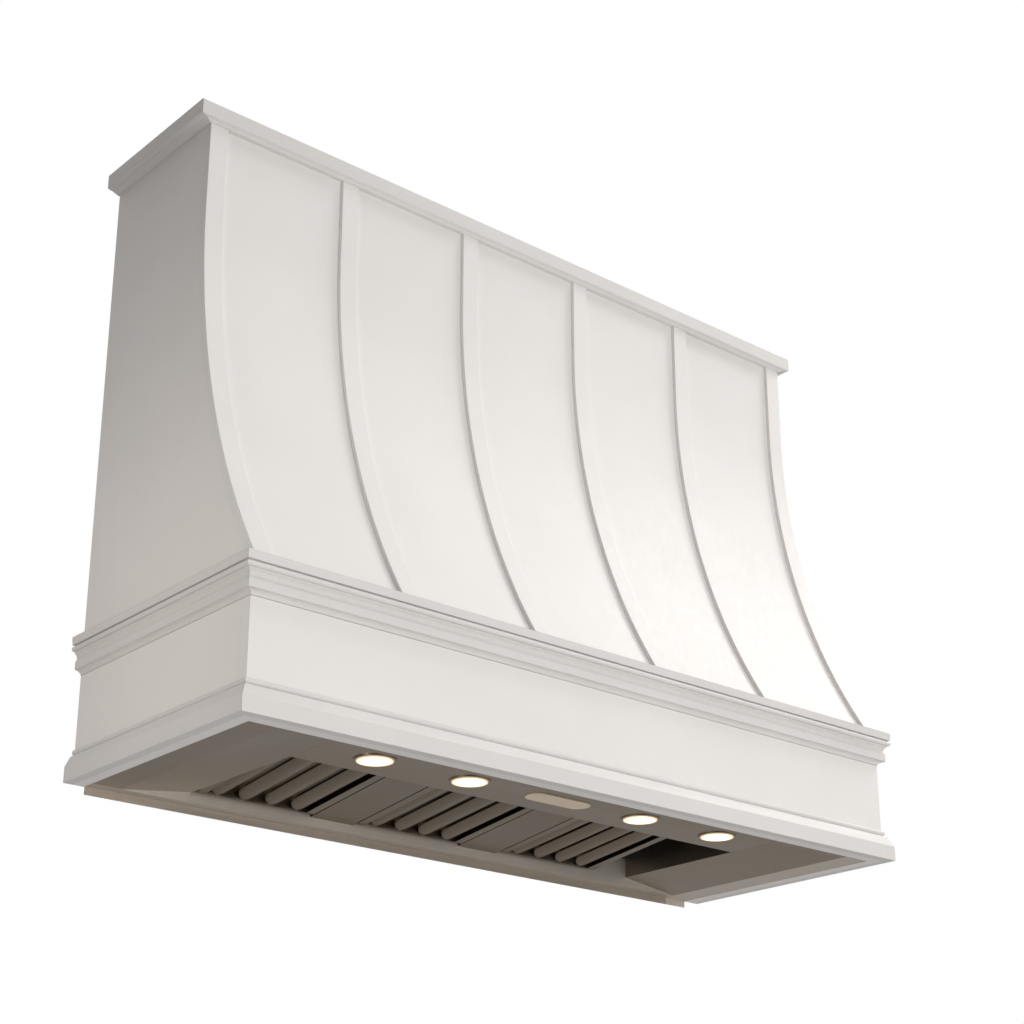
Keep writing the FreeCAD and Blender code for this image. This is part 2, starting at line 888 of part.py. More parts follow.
# --------------------------------------------------------------------------
# Baffle filters, hinged on pins at their back edge
# --------------------------------------------------------------------------
filter_back = size.pin_inset
filter_front = size.pin_inset - size.filter_long
baffle_long = size.filter_long - 2 * size.filter_sheet


def filter_centre(number):
    return number * filter_pitch + size.filter_width / 2 - FILTERS * filter_pitch / 2


def place_filter(body, number):
    place(body, x=filter_centre(number), y=-size.pin_back, z=size.pin_level,
          tilt=-size.filter_tilt)


def filter_frame(number):
    """Channel frame with a stub pin at each back corner.

    The back end has no lower lip, so the ends of the baffles show there.
    """
    body = new_body(f"filter_frame_{number + 1}")
    half = size.filter_width / 2
    skin = size.filter_sheet
    block = new_sketch(body, LEVEL)
    rectangle(block, -half, filter_front, half, filter_back)
    pad(body, block, size.filter_thick, both_ways=True)
    channel = new_sketch(body, LEVEL)
    rectangle(channel, skin - half, filter_front + skin, half - skin, filter_back - skin)
    pocket(body, channel, size.filter_thick - 2 * skin)
    window = new_sketch(body, LEVEL)
    side_lip = size.filter_side_lip
    end_lip = size.filter_end_lip
    rectangle(window, side_lip - half, filter_front + end_lip,
              half - side_lip, filter_back - end_lip)
    pocket(body, window, 2 * size.filter_thick)
    notch = new_sketch(body, LEVEL, -size.filter_thick / 2)
    rectangle(notch, side_lip - half, filter_back - 2 * end_lip,
              half - side_lip, filter_back - skin)
    pocket(body, notch, size.filter_thick)
    for side in (-1, 1):
        start = side * half if side > 0 else -(half + size.pin_reach)
        pin = new_sketch(body, ACROSS, start)
        ring(pin, 0, 0, size.pin_wide / 2)
        pad(body, pin, size.pin_reach)
    place_filter(body, number)
    return body


def arched_baffle(body, across, low):
    """One arched strip, seated between the end channels, with round back corners."""
    half = size.baffle_wide / 2
    rise = size.baffle_rise
    radius = (half * half + rise * rise) / (2 * rise)
    inner = radius - size.filter_sheet
    share = inner / radius
    centre = low + radius
    edge = low + rise
    section = new_sketch(body, FRONT_TO_BACK, size.filter_sheet - filter_back)
    outline(section, [
        (across - half, edge), (across + half, edge),
        (across + half * share, centre - (centre - edge) * share),
        (across - half * share, centre - (centre - edge) * share),
    ], {0: (radius, 1), 2: (inner, -1)})
    strip = pad(body, section, baffle_long)
    corners = new_sketch(body, LEVEL, low + rise / 2)
    tip = filter_back - size.filter_sheet
    corner = size.baffle_corner
    for side in (-1, 1):
        points = [(across + side * half, tip)]
        for turn in (0, 30, 60, 90):
            inward = corner * (1 - cosine(length(turn)))
            back = corner * (1 - sine(length(turn)))
            points.append((across + side * (half - inward), tip - back))
        outline(corners, points)
    trim = pocket(body, corners, 2 * rise)
    return [strip, trim]


def folded_baffle(body, across, high):
    """One channel folded from flat strip, upside down above a gap in the lower row."""
    half = size.baffle_wide / 2
    flat = size.channel_flat / 2
    rise = size.baffle_rise
    skin = size.filter_sheet
    run = half - flat
    wall = skin * root(run * run + rise * rise) / rise
    inner_flat = flat - wall + skin * run / rise
    section = new_sketch(body, FRONT_TO_BACK, size.filter_sheet - filter_back)
    outline(section, [
        (across - half, high - rise), (across - flat, high),
        (across + flat, high), (across + half, high - rise),
        (across + half - wall, high - rise), (across + inner_flat, high - skin),
        (across - inner_flat, high - skin), (across - half + wall, high - rise),
    ])
    return [pad(body, section, baffle_long)]


def filter_baffles(number):
    """A lower row of arches, and folded channels above the gaps between them."""
    body = new_body(f"filter_baffles_{number + 1}")
    seat = size.filter_thick / 2 - size.filter_sheet
    lower = (LOWER_BAFFLES - 1) * size.baffle_pitch
    row_of(body, arched_baffle(body, -lower / 2, -seat), "X_Axis", lower, LOWER_BAFFLES)
    upper = (UPPER_BAFFLES - 1) * size.baffle_pitch
    row_of(body, folded_baffle(body, -upper / 2, seat), "X_Axis", upper, UPPER_BAFFLES)
    place_filter(body, number)
    return body


def blank_panels():
    """Plain folded panels that close the row between one filter and the next."""
    body = new_body("blank_panels")
    under = -size.filter_thick / 2
    over = under + sheet_thick
    rear = size.back_flange
    lip = lip_depth
    margin = size.bracket_gap + size.bracket_thick + size.blank_play
    section = new_sketch(body, ACROSS)
    outline(section, [
        (-rear, filter_plane(rear, under)),
        (-rear, size.trough_top - sheet_thick),
        (-(rear + sheet_thick), size.trough_top - sheet_thick),
        (-(rear + sheet_thick), filter_plane(rear + sheet_thick, over)),
        (-(lip - sheet_thick), filter_plane(lip - sheet_thick, over)),
        (-(lip - sheet_thick), filter_plane(lip, -under)),
        (-lip, filter_plane(lip, -under)),
        (-lip, filter_plane(lip, under)),
    ])
    panel = pad(body, section, size.blank_width - 2 * margin)
    row_of(body, [panel], "X_Axis", (FILTERS - 2) * filter_pitch, FILTERS - 1)
    place(body, x=filter_centre(0) + size.filter_width / 2 + margin)
    return body


def end_filler():
    """Raised plate on the well's right side, over the gap beside the last filter."""
    edge = filter_centre(FILTERS - 1) + size.filter_width / 2
    return board("end_filler", well_half + sheet_thick - edge,
                 lip_depth - size.back_flange, sheet_thick,
                 edge, -lip_depth, size.well_top)


def filter_brackets():
    """An ear with a punched square hole at each side of each filter."""
    body = new_body("filter_brackets")
    nose = size.bracket_nose
    hole = size.pin_wide / 2 + size.pin_play
    first = []
    for side in (-1, 1):
        near = size.filter_width / 2 + size.bracket_gap
        start = near if side > 0 else -(near + size.bracket_thick)
        section = new_sketch(body, ACROSS, start)
        outline(section, [
            (-size.back_flange, size.pin_level - nose),
            (-size.pin_back, size.pin_level - nose),
            (-(size.pin_back + nose), size.pin_level - nose / 2),
            (-(size.pin_back + nose), size.pin_level + nose / 2),
            (-size.pin_back, size.pin_level + nose),
            (-size.back_flange, size.pin_level + nose),
        ])
        rectangle(section, -(size.pin_back + hole), size.pin_level - hole,
                  hole - size.pin_back, size.pin_level + hole)
        first.append(pad(body, section, size.bracket_thick))
    row_of(body, first, "X_Axis", (FILTERS - 1) * filter_pitch, FILTERS)
    place(body, x=filter_centre(0))
    return body


def filter_magnets():
    """Two magnets under the ledge for the front edge of each filter."""
    body = new_body("filter_magnets")
    sketch = new_sketch(body, LEVEL, size.filter_thick / 2 + size.magnet_gap)
    half = size.magnet_wide / 2
    middle = filter_front + size.magnet_inset
    for side in (-1, 1):
        across = side * size.magnet_span / 2
        rectangle(sketch, across - half, middle - half, across + half, middle + half)
    first = pad(body, sketch, size.magnet_thick)
    row_of(body, [first], "X_Axis", (FILTERS - 1) * filter_pitch, FILTERS)
    place_filter(body, 0)
    return body


def filters():
    pieces = [blank_panels(), end_filler(), filter_brackets(), filter_magnets()]
    for number in range(FILTERS):
        pieces.append(filter_frame(number))
        pieces.append(filter_baffles(number))
    return pieces


# --------------------------------------------------------------------------
# Duct collar and back-draught damper
# --------------------------------------------------------------------------
collar_radius = size.collar_wide / 2
collar_bore = collar_radius - sheet_thick


def duct_collar():
    """Spigot for the duct on a square flange, with two stops under the flaps."""
    body = new_body("duct_collar")
    flange = new_sketch(body, LEVEL)
    edge = collar_radius + size.collar_flange
    rectangle(flange, -edge, -edge, edge, edge)
    pad(body, flange, sheet_thick)
    spigot = new_sketch(body, LEVEL)
    ring(spigot, 0, 0, collar_radius)
    pad(body, spigot, size.collar_tall)
    bore = new_sketch(body, LEVEL)
    ring(bore, 0, 0, collar_bore)
    pocket(body, bore, right_through)
    top = size.damper_level - size.flap_thick / 2 - size.damper_rest
    stops = new_sketch(body, LEVEL, top - sheet_thick)
    for side in (-1, 1):
        rectangle(stops, -size.stop_wide / 2, side * (collar_bore - size.damper_stop),
                  size.stop_wide / 2, side * (collar_radius - sheet_thick / 2))
    pad(body, stops, sheet_thick)
    holes = new_sketch(body, ACROSS)
    half = size.rod_wide / 2 + size.rod_hole_play / 2
    rectangle(holes, -half, size.damper_level - half, half, size.damper_level + half)
    pocket(body, holes, right_through)
    place(body, y=-duct_centre, z=size.plenum_top)
    return body


def damper_rod():
    """Hinge rod across the collar, with its ends in the holes in the collar's wall."""
    body = new_body("damper_rod")
    reach = collar_radius - size.rod_short
    section = new_sketch(body, ACROSS, -reach)
    ring(section, 0, 0, size.rod_wide / 2)
    pad(body, section, 2 * reach)
    place(body, y=-duct_centre, z=size.plenum_top + size.damper_level)
    return body


def damper_flap(label, side, knuckles):
    """Half-round flap with its hinge knuckles; side -1 is the front one."""
    body = new_body(label)
    radius = collar_bore - size.damper_play
    gap = size.flap_hinge_gap
    reach = root(radius * radius - gap * gap)
    plate = new_sketch(body, LEVEL)
    outline(plate, [(-reach, side * gap), (reach, side * gap)], {1: (radius, side)})
    pad(body, plate, size.flap_thick, both_ways=True)
    tabs = new_sketch(body, LEVEL)
    half = size.knuckle_long / 2
    barrel = size.knuckle_wide / 2
    for across in knuckles:
        rectangle(tabs, across - half, side * (barrel - size.flap_thick),
                  across + half, side * (gap + size.flap_thick))
    pad(body, tabs, size.flap_thick, both_ways=True)
    for across in knuckles:
        roll = new_sketch(body, ACROSS, across)
        many_sided(roll, barrel, KNUCKLE_SIDES)
        pad(body, roll, size.knuckle_long, both_ways=True)
    bore = new_sketch(body, ACROSS)
    ring(bore, 0, 0, size.rod_wide / 2 + size.knuckle_play)
    pocket(body, bore, right_through)
    place(body, y=-duct_centre, z=size.plenum_top + size.damper_level)
    return body


def duct():
    return [
        duct_collar(),
        damper_rod(),
        damper_flap("damper_flap_front", -1, (length(0),)),
        damper_flap("damper_flap_back", 1, (-size.knuckle_side, size.knuckle_side)),
    ]


# --------------------------------------------------------------------------
# Blower
# --------------------------------------------------------------------------
outlet_deep = size.scroll_start + 3 * size.scroll_step
tongue_y = -(duct_centre + outlet_deep / 2)
impeller_y = tongue_y + size.scroll_step / 2
impeller_z = size.scroll_level + size.scroll_step / 2
scroll_top = size.plenum_top - sheet_thick


def scroll_outline(sketch, inset, top):
    """Three quarter turns whose radius grows by a step each, then the outlet."""
    step = size.scroll_step
    level = size.scroll_level
    first = size.scroll_start - inset
    second = first + step
    third = second + step
    front = tongue_y + inset
    back = tongue_y + step + third
    points = [(front, top), (front, level + first), (tongue_y, level + first)]
    points += [
        (tongue_y - first, level), (tongue_y + step, level - second),
        (back, level + step), (back, top),
    ]
    arcs = {2: (first, 1), 3: (second, 1), 4: (third, 1)}
    if inset.value == 0:
        points.pop(1)
        arcs = {1: (first, 1), 2: (second, 1), 3: (third, 1)}
    outline(sketch, points, arcs)


def blower_wrap():
    """Strip bent round the scroll between the two side plates, open at the outlet."""
    body = new_body("blower_wrap")
    outer = new_sketch(body, ACROSS)
    scroll_outline(outer, length(0), scroll_top)
    pad(body, outer, size.scroll_wide - 2 * sheet_thick, both_ways=True)
    inner = new_sketch(body, ACROSS)
    scroll_outline(inner, sheet_thick, size.plenum_top)
    pocket(body, inner, right_through)
    return body


def blower_side(label, left, hole):
    """Side plate of the scroll, with a round hole on the wheel's axis."""
    body = new_body(label)
    plate = new_sketch(body, ACROSS)
    scroll_outline(plate, length(0), scroll_top)
    ring(plate, impeller_y, impeller_z, hole / 2)
    pad(body, plate, sheet_thick)
    place(body, x=left)
    return body


def blower_motor():
    """Motor with chamfered corners on a square plate at the scroll's right side."""
    body = new_body("blower_motor")
    plate = new_sketch(body, ACROSS)
    edge = size.motor_flange / 2
    rectangle(plate, -edge, -edge, edge, edge)
    pad(body, plate, size.motor_flange_thick)
    can = new_sketch(body, ACROSS)
    many_sided(can, size.motor_wide / 2, MOTOR_SIDES)
    pad(body, can, size.motor_long)
    bore = new_sketch(body, ACROSS)
    ring(bore, 0, 0, size.shaft_wide / 2 + size.shaft_play)
    pocket(body, bore, 2 * size.motor_bore_long)
    place(body, size.scroll_wide / 2, impeller_y, impeller_z)
    return body


def impeller():
    """Squirrel-cage wheel: back plate, hub and shaft, swept blades, front ring."""
    body = new_body("impeller")
    half = size.impeller_long / 2
    rim = size.impeller_wide / 2
    disc = new_sketch(body, ACROSS, half - size.impeller_plate)
    many_sided(disc, rim, BLADES)
    pad(body, disc, size.impeller_plate)
    hub = new_sketch(body, ACROSS, half - size.hub_long)
    many_sided(hub, size.hub_wide / 2, HUB_SIDES)
    pad(body, hub, size.hub_long)
    shaft = new_sketch(body, ACROSS, half)
    ring(shaft, 0, 0, size.shaft_wide / 2)
    pad(body, shaft, size.scroll_wide / 2 + size.shaft_in_motor - half)
    front = new_sketch(body, ACROSS, -half)
    many_sided(front, rim, BLADES)
    many_sided(front, size.impeller_inlet / 2, BLADES)
    pad(body, front, size.impeller_plate)
    blade = new_sketch(body, ACROSS, -half)
    sweep = size.blade_sweep
    outline(blade, [
        (size.blade_in, 0), (size.blade_out, sweep),
        (size.blade_out + size.blade_thick / 2, sweep - size.blade_thick),
        (size.blade_in + size.blade_thick / 2, -size.blade_thick),
    ])
    first = pad(body, blade, size.impeller_long)
    doc.recompute()
    wheel = body.newObject("PartDesign::PolarPattern", "impeller_blades")
    axis = [item for item in body.Origin.OriginFeatures if item.Role == "X_Axis"][0]
    wheel.Originals = [first]
    wheel.Axis = (axis, [""])
    wheel.Angle = 360
    wheel.Occurrences = BLADES
    body.Tip = wheel
    place(body, 0, impeller_y, impeller_z)
    return body


def junction_box():
    """Terminal box on the plenum, with a cable gland on top."""
    body = new_body("junction_box")
    box = new_sketch(body, LEVEL)
    wide = size.junction_wide / 2
    deep = size.junction_deep / 2
    rectangle(box, -wide, -deep, wide, deep)
    pad(body, box, size.junction_tall)
    gland = new_sketch(body, LEVEL, size.junction_tall)
    many_sided(gland, size.gland_wide / 2, GLAND_SIDES)
    pad(body, gland, size.gland_tall)
    bore = new_sketch(body, LEVEL, size.junction_tall + size.gland_tall)
    ring(bore, 0, 0, size.gland_bore / 2)
    pocket(body, bore, 2 * size.gland_tall)
    place(body, -size.junction_across, -gland_depth, size.plenum_top)
    return body


def insert():
    return [
        liner_frame(),
        lamp_panel(),
        plenum_box(),
        cleat("cleat_left", -inner_half),
        cleat("cleat_right", cleat_face),
        blower_wrap(),
        blower_side("blower_side_left", -size.scroll_wide / 2, size.impeller_inlet),
        blower_side("blower_side_right", size.scroll_wide / 2 - sheet_thick,
                    size.shaft_hole),
        blower_motor(),
        impeller(),
        junction_box(),
    ]


# --------------------------------------------------------------------------
# Build, check and write
# --------------------------------------------------------------------------
def check_document():
    for item in doc.Objects:
        if "Invalid" in item.State or "Error" in item.State:
            raise RuntimeError(f"{item.Label} failed: {item.State}")


def write_parts(pieces):
    os.makedirs("parts", exist_ok=True)
    for piece in pieces:
        shape = piece.Shape
        if shape.isNull() or not shape.isValid():
            raise RuntimeError(f"{piece.Label} has no valid shape")
        shape.exportStep(f"parts/{piece.Label}.step")
        print(f"{piece.Label}: {len(shape.Solids)} solid(s), {shape.Volume / 1000:.1f} cm3")


parts = (carcass() + face() + mouldings() + insert() + lamps_and_control()
         + filters() + duct())
doc.recompute()
check_document()
write_parts(parts)
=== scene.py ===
"""Wooden range hood cover, dressed for a picture. Metres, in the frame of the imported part."""

import json
import math

import bmesh
import bpy
from mathutils import Matrix, Vector


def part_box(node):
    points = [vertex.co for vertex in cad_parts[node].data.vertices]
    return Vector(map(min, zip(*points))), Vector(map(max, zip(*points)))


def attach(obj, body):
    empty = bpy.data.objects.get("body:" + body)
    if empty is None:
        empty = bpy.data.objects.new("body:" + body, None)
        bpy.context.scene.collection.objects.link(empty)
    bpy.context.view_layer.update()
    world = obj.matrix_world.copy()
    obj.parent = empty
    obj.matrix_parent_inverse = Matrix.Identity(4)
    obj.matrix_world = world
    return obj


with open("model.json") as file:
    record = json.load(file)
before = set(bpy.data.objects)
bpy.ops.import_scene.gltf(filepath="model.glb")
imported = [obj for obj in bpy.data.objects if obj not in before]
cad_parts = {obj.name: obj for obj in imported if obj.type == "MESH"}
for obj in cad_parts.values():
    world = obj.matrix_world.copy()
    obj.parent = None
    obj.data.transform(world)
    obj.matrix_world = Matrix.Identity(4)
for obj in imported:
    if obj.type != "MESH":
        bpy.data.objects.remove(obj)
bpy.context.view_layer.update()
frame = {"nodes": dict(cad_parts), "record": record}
nodes = frame["nodes"]
slots = {part["node"]: part["material_slot"] for part in frame["record"]["subparts"]}

X, Y, Z = 0, 1, 2


# --------------------------------------------------------------------------
# Small helpers for shader nodes
# --------------------------------------------------------------------------
class Nodes:
    """A node tree, with short ways to add and join nodes."""

    def __init__(self, tree):
        self.tree = tree

    def add(self, kind, **settings):
        node = self.tree.nodes.new(kind)
        for key, value in settings.items():
            setattr(node, key, value)
        return node

    def link(self, source, target):
        self.tree.links.new(source, target)

    def calc(self, operation, *values):
        """A Math node. Each value is a number or another node's output."""
        node = self.add("ShaderNodeMath", operation=operation)
        for socket, value in zip(node.inputs, values):
            if isinstance(value, float):
                socket.default_value = value
            else:
                self.link(value, socket)
        return node.outputs["Value"]

    def mix_shader(self, factor, first, second):
        node = self.add("ShaderNodeMixShader")
        for socket, source in zip(node.inputs, (factor, first, second)):
            self.link(source, socket)
        return node.outputs["Shader"]


class Shader(Nodes):
    """One material being wired up round its Principled node."""

    def __init__(self, name):
        self.material = bpy.data.materials.new(name)
        self.material.use_nodes = True
        super().__init__(self.material.node_tree)
        self.surface = self.tree.nodes["Principled BSDF"]
        self.position = self.add("ShaderNodeTexCoord").outputs["Object"]

    def set(self, **values):
        """Constants on the Principled node's own sockets."""
        for key, value in values.items():
            self.surface.inputs[key.replace("_", " ").title()].default_value = value

    def drive(self, socket, source):
        """One of the Principled node's sockets, fed from another node."""
        self.link(source, self.surface.inputs[socket])

    def stretched(self, scale):
        """Object position, scaled along each axis."""
        mapping = self.add("ShaderNodeMapping")
        mapping.inputs["Scale"].default_value = scale
        self.link(self.position, mapping.inputs["Vector"])
        return mapping.outputs["Vector"]

    def noise(self, scale, detail=3.0, vector=None):
        node = self.add("ShaderNodeTexNoise")
        node.inputs["Scale"].default_value = scale
        node.inputs["Detail"].default_value = detail
        self.link(vector or self.position, node.inputs["Vector"])
        return node.outputs["Fac"]

    def spread(self, value, low, high, start=0.25, end=0.75):
        """A value from start to end, spread over low to high."""
        node = self.add("ShaderNodeMapRange")
        for socket, number in (("From Min", start), ("From Max", end),
                               ("To Min", low), ("To Max", high)):
            node.inputs[socket].default_value = number
        self.link(value, node.inputs["Value"])
        return node.outputs["Result"]

    def ramp(self, value, stops):
        """Colours at places from 0 to 1."""
        node = self.add("ShaderNodeValToRGB")
        while len(node.color_ramp.elements) < len(stops):
            node.color_ramp.elements.new(1.0)
        for element, (place, colour) in zip(node.color_ramp.elements, stops):
            element.position = place
            element.color = (*colour, 1.0)
        self.link(value, node.inputs["Fac"])
        return node.outputs["Color"]

    def two_tones(self, value, low, high):
        """A colour that wavers between two tones with the value of a noise."""
        return self.ramp(value, [(0.3, low), (0.7, high)])

    def mix(self, factor, first, second, **settings):
        """Two colours, mixed by a number or another node's output."""
        node = self.add("ShaderNodeMix", data_type="RGBA", **settings)
        if isinstance(factor, float):
            node.inputs["Factor"].default_value = factor
        else:
            self.link(factor, node.inputs["Factor"])
        self.link(first, node.inputs[6])
        self.link(second, node.inputs[7])
        return node.outputs[2]

    def sum(self, first, second, share=1.0):
        """first plus share times second."""
        return self.calc("MULTIPLY_ADD", second, share, first)

    def bump(self, height, distance, soft_edge=0.0):
        node = self.add("ShaderNodeBump")
        node.inputs["Distance"].default_value = distance
        self.link(height, node.inputs["Height"])
        if soft_edge:
            edge = self.add("ShaderNodeBevel", samples=4)
            edge.inputs["Radius"].default_value = soft_edge
            self.link(edge.outputs["Normal"], node.inputs["Normal"])
        self.drive("Normal", node.outputs["Normal"])


def along(axis, long, short):
    """Texture scales for marks that run along one axis."""
    return tuple(long if index == axis else short for index in range(3))


def scaled(colour, factor):
    return tuple(factor * channel for channel in colour)


# --------------------------------------------------------------------------
# Materials
# --------------------------------------------------------------------------
def painted_wood(axis, name="painted_wood", shade=1.0):
    """Sprayed satin paint, with a trace of the grain and a fine spray texture; a shade below 1
    darkens it all as painted shade.
    """
    shader = Shader(f"{name}_{'xyz'[axis]}")
    shader.drive("Base Color", shader.two_tones(
        shader.noise(6.0, 2.0),
        scaled((0.775, 0.755, 0.742), shade), scaled((0.805, 0.787, 0.774), shade)))
    grain = shader.noise(1.0, 4.0, shader.stretched(along(axis, 5.0, 160.0)))
    spray = shader.noise(900.0, 2.0)
    shader.drive("Roughness", shader.spread(grain, 0.50, 0.60))
    shader.bump(shader.sum(spray, grain, 0.6), 0.00012, soft_edge=0.0012)
    return shader.material


def bare_wood(axis):
    """Plywood and softwood inside the cover."""
    shader = Shader(f"bare_wood_{'xyz'[axis]}")
    rings = shader.add("ShaderNodeTexWave", wave_type="BANDS", bands_direction="DIAGONAL")
    rings.inputs["Scale"].default_value = 1.0
    rings.inputs["Distortion"].default_value = 7.0
    rings.inputs["Detail"].default_value = 3.0
    shader.link(shader.stretched(along(axis, 1.2, 22.0)), rings.inputs["Vector"])
    pores = shader.noise(1.0, 5.0, shader.stretched(along(axis, 12.0, 420.0)))
    mixed = shader.sum(rings.outputs["Fac"], pores, 0.8)
    shader.drive("Base Color", shader.ramp(shader.spread(mixed, 0.0, 1.0, 0.2, 1.4), [
        (0.0, (0.50, 0.34, 0.18)), (0.5, (0.62, 0.46, 0.27)), (1.0, (0.70, 0.55, 0.36))]))
    shader.set(roughness=0.62)
    shader.bump(mixed, 0.0003)
    return shader.material


def brush_lines(shader, axis, low=0.26, high=0.40):
    """Roughness and bump of brushed sheet; returns the lines for the colour."""
    lines = shader.noise(1.0, 4.0, shader.stretched(along(axis, 9.0, 1500.0)))
    smudged = shader.sum(lines, shader.noise(9.0, 3.0), 0.6)
    shader.drive("Roughness", shader.spread(smudged, low, high, 0.5, 1.1))
    shader.set(anisotropic=0.5)
    shader.bump(lines, 0.00004, soft_edge=0.0006)
    return lines


def brushed_steel(axis, name, tint, low=0.26, high=0.40):
    """Sheet steel with fine brush lines along one axis."""
    shader = Shader(f"{name}_{'xyz'[axis]}")
    lines = brush_lines(shader, axis, low, high)
    shader.drive("Base Color", shader.two_tones(lines, scaled(tint, 0.9), tint))
    shader.set(metallic=1.0)
    return shader.material


TROUGH_WALL = -0.0212              # along Y, just in front of the wall behind the filters
FLANGE_FOLD = (0.5440, 0.5455)     # along X, on either side of the right flange's fold


def liner_sheet():
    """The liner's sheet, with painted reflections: paler at the trough and right flange,
    browner at the back lip.
    """
    shader = Shader("liner_steel")
    lines = brush_lines(shader, X)
    place = shader.add("ShaderNodeSeparateXYZ")
    shader.link(shader.position, place.inputs["Vector"])
    back = shader.spread(place.outputs["Y"], 0.0, 1.0, TROUGH_WALL, 0.0)
    right = shader.spread(place.outputs["X"], 0.0, 1.0, *FLANGE_FOLD)
    # Painted reflection: the trough wall is paler than the plain sheet, and the back lip goes
    # browner again.
    tone = shader.ramp(back, [(0.0, (0.32, 0.27, 0.215)), (0.05, (0.50, 0.46, 0.415)),
                              (0.80, (0.46, 0.415, 0.365)), (0.95, (0.37, 0.32, 0.27))])
    # Painted reflection: the right flange is paler too.
    flange = shader.two_tones(lines, (0.56, 0.50, 0.44), (0.60, 0.54, 0.47))
    brushing = shader.two_tones(lines, (0.9, 0.9, 0.9), (1.0, 1.0, 1.0))
    shader.drive("Base Color", shader.mix(
        1.0, shader.mix(right, tone, flange), brushing, blend_type="MULTIPLY"))
    # Where the reflection is painted, the sheet also turns less metallic.
    reflection_zones = shader.calc("MAXIMUM", right, shader.spread(back, 0.0, 1.0, 0.0, 0.05))
    shader.drive("Metallic", shader.spread(reflection_zones, 1.0, 0.45, 0.0, 1.0))
    return shader.material


def zinc_sheet():
    """Galvanised sheet with its spangle."""
    shader = Shader("zinc_sheet")
    cells = shader.add("ShaderNodeTexVoronoi", feature="F1")
    cells.inputs["Scale"].default_value = 70.0
    shader.link(shader.position, cells.inputs["Vector"])
    tone = shader.add("ShaderNodeSeparateColor")
    shader.link(cells.outputs["Color"], tone.inputs["Color"])
    shader.drive("Base Color", shader.ramp(tone.outputs["Red"], [
        (0.0, (0.44, 0.46, 0.48)), (1.0, (0.62, 0.64, 0.66))]))
    shader.drive("Roughness", shader.spread(tone.outputs["Green"], 0.32, 0.5, 0.0, 1.0))
    shader.set(metallic=1.0)
    shader.bump(shader.noise(40.0), 0.0003)
    return shader.material


LENS_CENTRES = [(across, -0.328, 0.0137) for across in (-0.333, -0.1665, 0.1665, 0.333)]
LENS_RADIUS = 0.026


def lit_lens():
    """Frosted lens: bright at its middle, amber and dimmer at its edge."""
    shader = Shader("frosted_lens")
    shader.set(base_color=(0.85, 0.72, 0.52, 1.0), roughness=0.35)
    nearest = None
    for centre in LENS_CENTRES:
        reach = shader.add("ShaderNodeVectorMath", operation="DISTANCE")
        shader.link(shader.position, reach.inputs[0])
        reach.inputs[1].default_value = centre
        away = reach.outputs["Value"]
        nearest = shader.calc("MINIMUM", nearest, away) if nearest else away
    out = shader.spread(nearest, 0.0, 1.0, LENS_RADIUS / 2, LENS_RADIUS)
    shader.drive("Emission Color", shader.ramp(out, [
        (0.0, (1.0, 0.93, 0.80)), (0.55, (1.0, 0.84, 0.58)), (1.0, (0.80, 0.52, 0.27))]))
    shader.drive("Emission Strength", shader.spread(out, 3.4, 0.55, 0.15, 0.95))
    shader.bump(shader.noise(260.0, 2.0), 0.0001)
    return shader.material


def gloss_plastic():
    """Plain beige touch strip with a faint orange peel."""
    shader = Shader("control_face")
    shader.drive("Base Color", shader.two_tones(
        shader.noise(30.0, 2.0), (0.72, 0.59, 0.43), (0.77, 0.63, 0.46)))
    shader.set(roughness=0.28)
    shader.bump(shader.noise(600.0), 0.00004, soft_edge=0.0005)
    return shader.material


def moulded_plastic():
    """Black plastic with a fine moulded texture."""
    shader = Shader("black_plastic")
    shader.drive("Base Color", shader.two_tones(
        shader.noise(20.0), (0.018, 0.018, 0.02), (0.03, 0.03, 0.033)))
    shader.set(roughness=0.55)
    shader.bump(shader.noise(1500.0, 1.0), 0.00015, soft_edge=0.0005)
    return shader.material


def painted_metal():
    """Dark enamel on the motor and the damper's ironwork."""
    shader = Shader("dark_metal")
    shader.drive("Base Color", shader.two_tones(
        shader.noise(14.0), (0.03, 0.03, 0.033), (0.05, 0.05, 0.054)))
    shader.drive("Roughness", shader.spread(shader.noise(120.0), 0.3, 0.45))
    shader.set(metallic=0.4)
    shader.bump(shader.noise(700.0), 0.0001, soft_edge=0.0006)
    return shader.material


MOULDINGS = ("crown", "mantel", "base")
UPRIGHTS = ("left_side", "right_side", "strap", "front_skin")
FILTER_STEEL = (0.25, 0.21, 0.165)

paint = [painted_wood(axis) for axis in (X, Y, Z)]
# The mouldings' copy of the paint is 13% darker: painted shade on their faces, not a second
# paint.
trim_painted_shade = [painted_wood(axis, "painted_trim_shade", 0.87) for axis in (X, Y, Z)]
timber = [bare_wood(axis) for axis in (X, Y, Z)]
filter_steel = [brushed_steel(axis, "filter_steel", FILTER_STEEL) for axis in (X, Y)]
liner_steel = liner_sheet()
plain = {
    "stainless": brushed_steel(X, "stainless", (0.34, 0.285, 0.225)),
    "zinc_sheet": zinc_sheet(),
    "frosted_lens": lit_lens(),
    "control_face": gloss_plastic(),
    "black_plastic": moulded_plastic(),
    "dark_metal": painted_metal(),
    "screw_steel": brushed_steel(X, "screw_steel", (0.62, 0.62, 0.62), 0.2, 0.35),
}


def longest(name):
    """The axis that a node is longest along."""
    low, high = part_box(name)
    spans = list(high - low)
    return spans.index(max(spans))


